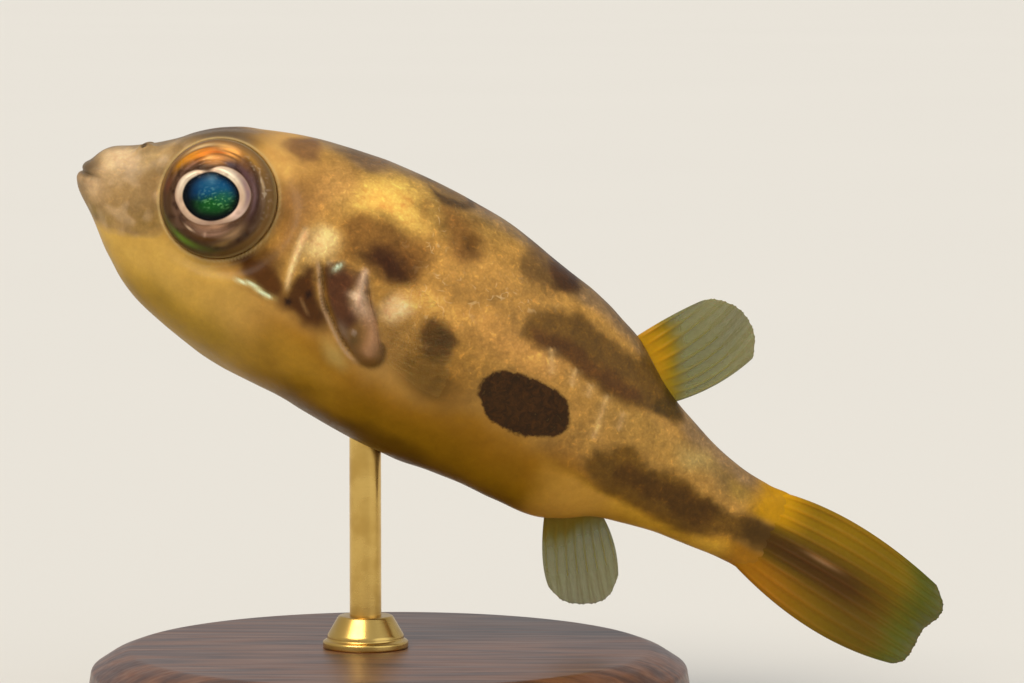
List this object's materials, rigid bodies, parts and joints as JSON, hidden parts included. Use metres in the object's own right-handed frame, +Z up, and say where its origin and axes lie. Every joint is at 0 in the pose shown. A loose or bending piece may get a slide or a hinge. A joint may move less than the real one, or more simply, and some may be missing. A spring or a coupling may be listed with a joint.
{
  "type": "freshwater pufferfish",
  "caption": "Life-size still model of a small freshwater pea pufferfish, nose up with its tail gently curved, held over a turned wooden base by a slim brass rod.",
  "frame": {"origin": "centre of the stand base's flat underside, which rests on the shelf", "axes": "+Z up; the fish's snout points towards -X and up, its tail towards +X, and its left side faces -Y"},
  "size_m": [0.0273, 0.019, 0.019],
  "materials": {
    "skin": "wet scaleless fish skin, golden tan with dark brown blotches and a yellow belly",
    "eye": "clear domed cornea over a brown iris, a silver ring and a blue-green pupil",
    "fin": "thin clear fin membrane with fine rays, yellow at its base",
    "stand_wood": "turned walnut, satin oil finish",
    "stand_brass": "satin drawn brass"
  },
  "bodies": {
    "root": {"upper_jaw": "skin", "lower_jaw": "skin", "head": "skin", "trunk": "skin", "belly": "skin", "tail_stalk": "skin", "eye_left": "eye", "eye_right": "eye", "pectoral_fin_left": "fin", "pectoral_fin_right": "fin", "dorsal_fin": "fin", "anal_fin": "fin", "caudal_fin": "fin", "stand_base": "stand_wood", "stand_collar": "stand_brass", "stand_rod": "stand_brass"}
  },
  "joints": []
}
